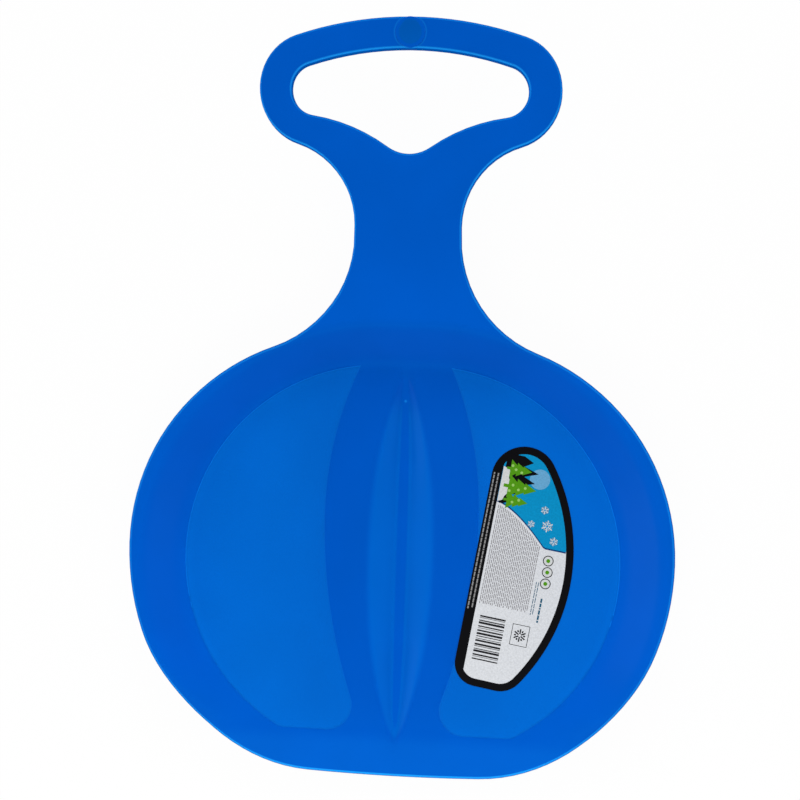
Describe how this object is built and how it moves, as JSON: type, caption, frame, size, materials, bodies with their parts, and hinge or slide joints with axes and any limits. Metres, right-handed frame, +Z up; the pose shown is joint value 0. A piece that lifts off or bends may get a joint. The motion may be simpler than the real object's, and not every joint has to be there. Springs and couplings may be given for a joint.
{
  "type": "snow slider",
  "caption": "Hand-held moulded snow slider: round dished seat with a runner along its middle, a raised neck and a loop handle, with a label on the seat.",
  "frame": {"origin": "under the middle of the slider, at the level of the runner's flat crest that it stands on", "axes": "+Y from the seat's rear edge to the handle, +Z up out of the seat, +X to the rider's right"},
  "size_m": [0.3514, 0.4826, 0.0701],
  "materials": {
    "blue_plastic": "translucent blue polyethylene, glossy, with finely textured seat panels",
    "label_film": "printed self-adhesive film, satin"
  },
  "bodies": {
    "root": {"slider_body": "blue_plastic", "label": "label_film"}
  },
  "joints": []
}
